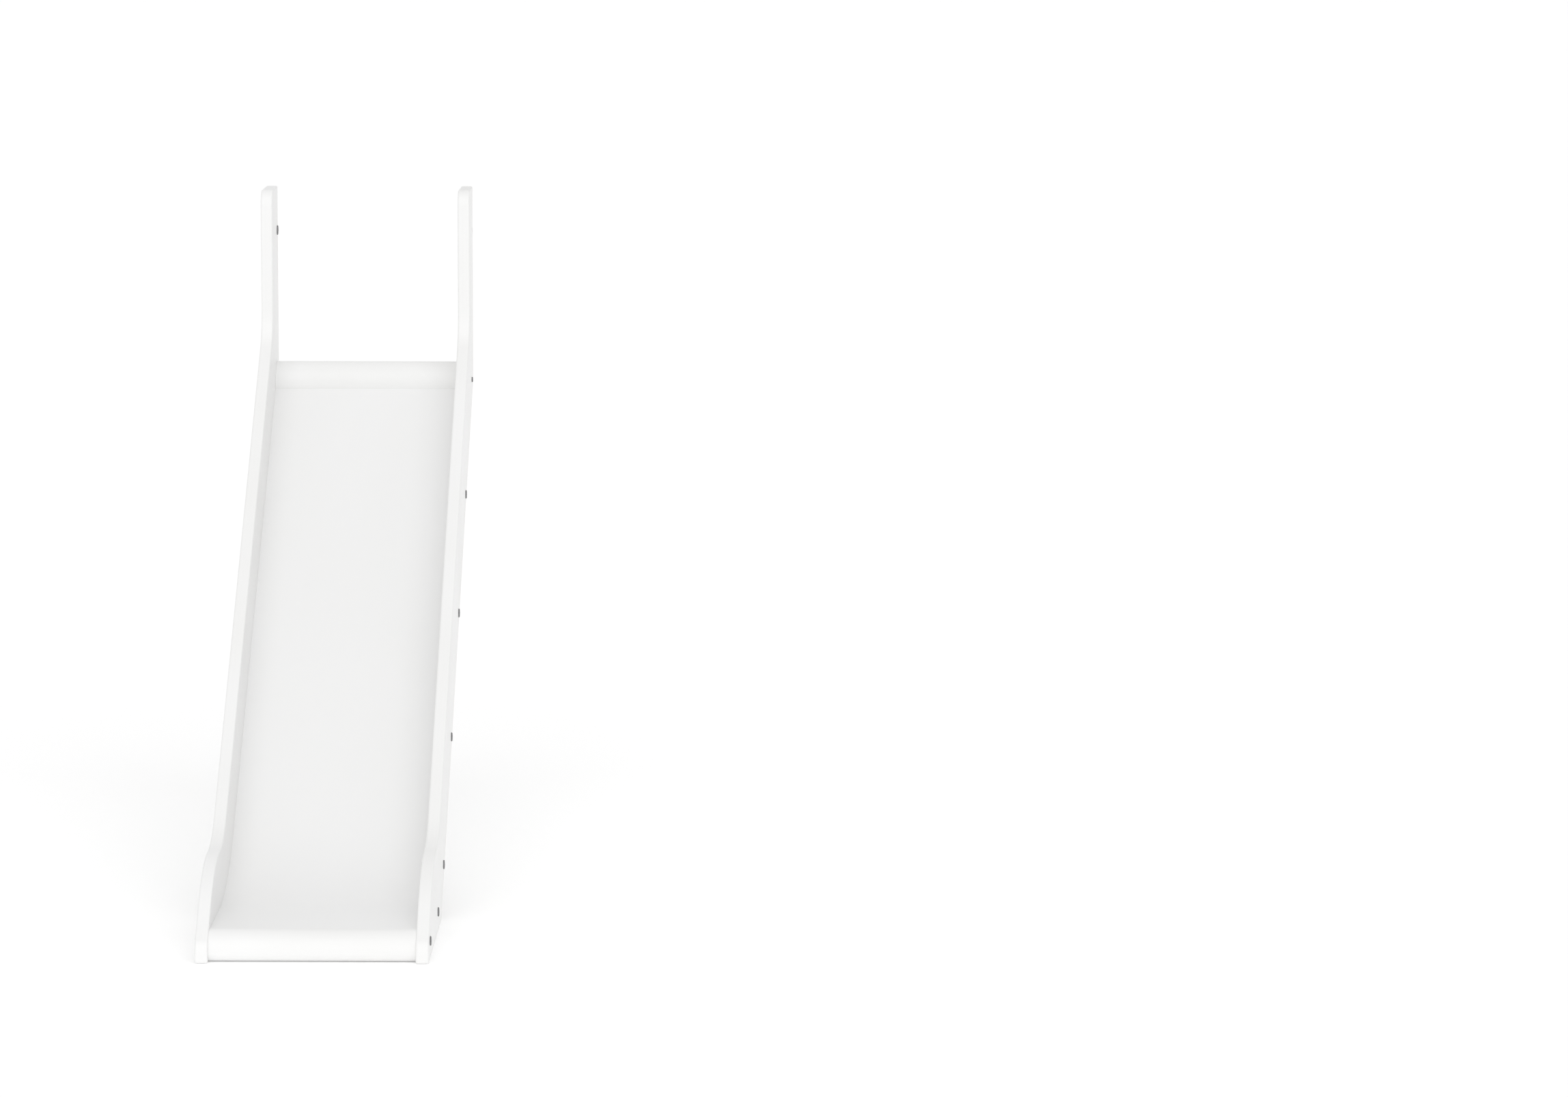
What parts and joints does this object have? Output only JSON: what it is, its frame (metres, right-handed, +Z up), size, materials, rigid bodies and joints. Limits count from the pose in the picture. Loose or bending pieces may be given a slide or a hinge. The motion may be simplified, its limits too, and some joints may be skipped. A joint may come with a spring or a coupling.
{
  "type": "children's bed slide",
  "caption": "Straight white slide for a mid-high children's bed: upright guards at the head, bent sliding board and round-nosed bars between two side panels.",
  "frame": {"origin": "on the floor, midway across the slide and midway between the toe and the rear edge of the guards", "axes": "+X across the slide to the right as seen from its foot, +Y from the toe towards the bed, +Z up"},
  "size_m": [0.3988, 1.573, 1.2],
  "materials": {
    "panel_lacquer": "satin white lacquer on MDF",
    "board_laminate": "smooth semi-gloss white laminate on bent plywood",
    "bar_lacquer": "satin white lacquer on solid wood",
    "batten_lacquer": "satin white lacquer on solid wood",
    "bolt_steel": "dark grey coated",
    "nut_steel": "zinc plated",
    "dowel_beech": "raw beech"
  },
  "bodies": {
    "root": {"side_panel_left": "panel_lacquer", "side_panel_right": "panel_lacquer", "slide_board": "board_laminate", "top_bar": "bar_lacquer", "front_bar": "bar_lacquer", "cross_batten_1": "batten_lacquer", "cross_batten_2": "batten_lacquer", "cross_batten_3": "batten_lacquer", "cross_batten_4": "batten_lacquer", "run_out_batten": "batten_lacquer", "batten_bolts_left": "bolt_steel", "batten_bolts_right": "bolt_steel", "top_bar_bolt_left": "bolt_steel", "top_bar_bolt_right": "bolt_steel", "front_bar_bolt_left": "bolt_steel", "front_bar_bolt_right": "bolt_steel", "batten_nuts": "nut_steel", "bar_nuts": "nut_steel", "batten_dowels": "dowel_beech", "bar_dowels": "dowel_beech", "sleeve_nut_left": "bolt_steel", "sleeve_nut_right": "bolt_steel"}
  },
  "joints": []
}
